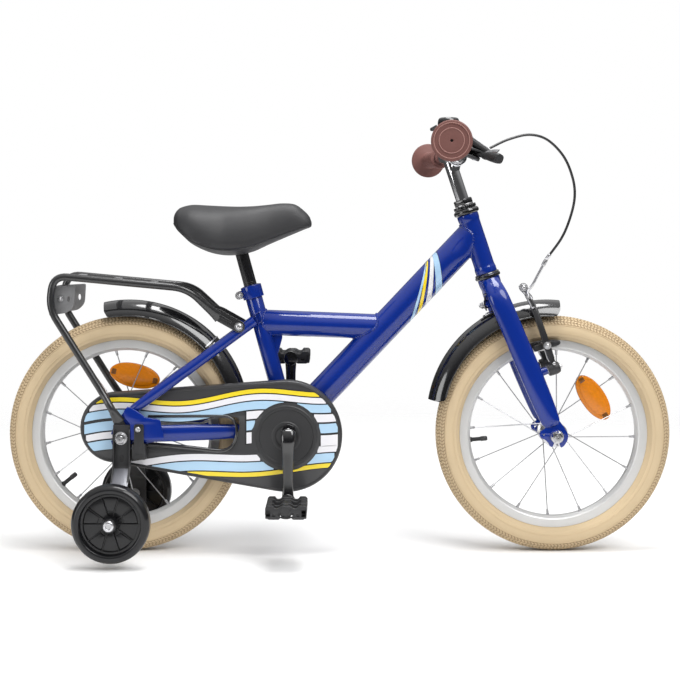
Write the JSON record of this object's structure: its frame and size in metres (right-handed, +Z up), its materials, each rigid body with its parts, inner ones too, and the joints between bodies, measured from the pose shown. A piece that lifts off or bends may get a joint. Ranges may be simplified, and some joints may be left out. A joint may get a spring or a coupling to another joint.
{
  "type": "kids bicycle",
  "caption": "Small bicycle for a child with a low frame, training wheels, rear rack, mudguards, closed chain case, front rim brake, bell and reflectors.",
  "frame": {"origin": "on the ground midway between the two axles", "axes": "+X forward, +Y to the rider's left, +Z up"},
  "size_m": [1.125, 0.5332, 0.728],
  "materials": {
    "amber_reflector": "amber reflector",
    "cable_sheath": "black plastic sheath",
    "case_plastic": "dark grey plastic with stripes",
    "chain_steel": "oiled steel",
    "chrome": "polished",
    "frame_paint": "gloss royal blue paint",
    "gloss_black": "gloss black",
    "grip_rubber": "brown rubber",
    "pad_rubber": "black rubber",
    "red_reflector": "red reflector",
    "saddle_cover": "dark grey cover",
    "satin_black": "satin black plastic",
    "silver_metal": "satin silver",
    "tyre_rubber": "beige rubber"
  },
  "bodies": {
    "frame": {"head_tube": "frame_paint", "seat_tube": "frame_paint", "down_tube": "frame_paint", "mid_tube": "frame_paint", "chain_stay_right": "frame_paint", "chain_stay_left": "frame_paint", "seat_stay_right": "frame_paint", "seat_stay_left": "frame_paint", "seat_clamp": "frame_paint", "headset_lower": "gloss_black", "headset_upper": "gloss_black", "rear_axle": "silver_metal", "chain": "chain_steel", "chain_case": "case_plastic", "chain_case_disc": "case_plastic", "training_bracket_right": "gloss_black", "training_bracket_left": "gloss_black", "rear_mudguard": "gloss_black", "rack": "gloss_black", "rear_reflector": "red_reflector", "coaster_arm": "silver_metal"},
    "fork": {"fork_crown": "frame_paint", "front_mudguard": "gloss_black", "fork_leg_right": "frame_paint", "fork_leg_left": "frame_paint", "front_axle": "silver_metal"},
    "front_wheel": {"front_tyre": "tyre_rubber", "front_rim": "silver_metal", "front_hub": "silver_metal", "front_valve": "gloss_black", "front_spoke_reflector": "amber_reflector"},
    "rear_wheel": {"rear_tyre": "tyre_rubber", "rear_rim": "silver_metal", "rear_hub": "silver_metal", "rear_valve": "gloss_black", "rear_spoke_reflector": "amber_reflector"},
    "crank": {"crank": "gloss_black", "chainring": "silver_metal"},
    "rear_sprocket": {"rear_sprocket": "silver_metal"},
    "pedal_right": {"pedal_right": "satin_black"},
    "pedal_left": {"pedal_left": "satin_black"},
    "training_wheel_right": {"training_wheel_right": "satin_black"},
    "training_wheel_left": {"training_wheel_left": "satin_black"},
    "seat": {"seat_post": "gloss_black", "saddle": "saddle_cover"},
    "handlebar": {"stem": "chrome", "handlebar": "chrome", "grip_right": "grip_rubber", "grip_left": "grip_rubber", "brake_lever_bracket": "gloss_black", "bell": "gloss_black", "brake_cable": "cable_sheath"},
    "brake_lever": {"brake_lever": "gloss_black"},
    "bell_lever": {"bell_lever": "gloss_black"},
    "brake_arm_right": {"brake_arm_right": "gloss_black", "brake_pad_right": "pad_rubber", "brake_noodle": "silver_metal"},
    "brake_arm_left": {"brake_arm_left": "gloss_black", "brake_pad_left": "pad_rubber"}
  },
  "joints": [
    {"name": "steering", "type": "hinge", "parent": "frame", "child": "fork", "pos_m": [0.25398, 0, 0.46308], "axis": [-0.3148, 0, 0.9492], "range_deg": [-70, 70]},
    {"name": "front_wheel_spin", "type": "hinge", "parent": "fork", "child": "front_wheel", "pos_m": [0.363, 0, 0.1995], "axis": [0, 1, 0], "continuous": true},
    {"name": "rear_wheel_spin", "type": "hinge", "parent": "frame", "child": "rear_wheel", "pos_m": [-0.363, 0, 0.1995], "axis": [0, 1, 0], "continuous": true},
    {"name": "crank_spin", "type": "hinge", "parent": "frame", "child": "crank", "pos_m": [-0.08582, 0, 0.208], "axis": [0, 1, 0], "continuous": true, "deforming": ["chain"]},
    {"name": "rear_sprocket_spin", "type": "hinge", "parent": "frame", "child": "rear_sprocket", "pos_m": [-0.363, 0, 0.1995], "axis": [0, 1, 0], "continuous": true, "deforming": ["chain"]},
    {"name": "pedal_right_spin", "type": "hinge", "parent": "crank", "child": "pedal_right", "pos_m": [-0.08582, 0, 0.096], "axis": [0, 1, 0], "continuous": true},
    {"name": "pedal_left_spin", "type": "hinge", "parent": "crank", "child": "pedal_left", "pos_m": [-0.08582, 0, 0.32], "axis": [0, 1, 0], "continuous": true},
    {"name": "training_wheel_right_spin", "type": "hinge", "parent": "frame", "child": "training_wheel_right", "pos_m": [-0.367, -0.142, 0.0735], "axis": [0, 1, 0], "continuous": true},
    {"name": "training_wheel_left_spin", "type": "hinge", "parent": "frame", "child": "training_wheel_left", "pos_m": [-0.367, 0.142, 0.0735], "axis": [0, 1, 0], "continuous": true},
    {"name": "seat_height", "type": "slide", "parent": "frame", "child": "seat", "axis": [-0.2639, 0, 0.9646], "range_m": [-0.02, 0.08]},
    {"name": "bar_height", "type": "slide", "parent": "fork", "child": "handlebar", "axis": [-0.3148, 0, 0.9492], "range_m": [-0.01, 0.04], "deforming": ["brake_cable"]},
    {"name": "brake_lever_pull", "type": "hinge", "parent": "handlebar", "child": "brake_lever", "pos_m": [0.21952, -0.13, 0.66503], "axis": [-0.342, 0, -0.9397], "range_deg": [0, 25], "stiffness_Nm_per_rad": 0.8, "springref_deg": -8.59},
    {"name": "bell_lever_press", "type": "hinge", "parent": "handlebar", "child": "bell_lever", "pos_m": [0.16657, -0.098, 0.70805], "axis": [0, 0, 1], "range_deg": [0, 20], "stiffness_Nm_per_rad": 0.02, "springref_deg": -5.73},
    {"name": "brake_arm_right_swing", "type": "hinge", "parent": "fork", "child": "brake_arm_right", "pos_m": [0.35953, -0.041, 0.31319], "axis": [-0.9492, 0, -0.3148], "range_deg": [0, 2.12], "stiffness_Nm_per_rad": 2, "springref_deg": -2.86, "deforming": ["brake_cable"]},
    {"name": "brake_arm_left_swing", "type": "hinge", "parent": "fork", "child": "brake_arm_left", "pos_m": [0.35953, 0.041, 0.31319], "axis": [0.9492, 0, 0.3148], "range_deg": [0, 2.12], "stiffness_Nm_per_rad": 2, "springref_deg": -2.86}
  ],
  "couplings": [
    {"joint": "rear_sprocket_spin", "follows": "crank_spin", "ratio": 1.8889},
    {"joint": "brake_arm_right_swing", "follows": "brake_lever_pull", "ratio": 0.085},
    {"joint": "brake_arm_left_swing", "follows": "brake_lever_pull", "ratio": 0.085}
  ]
}
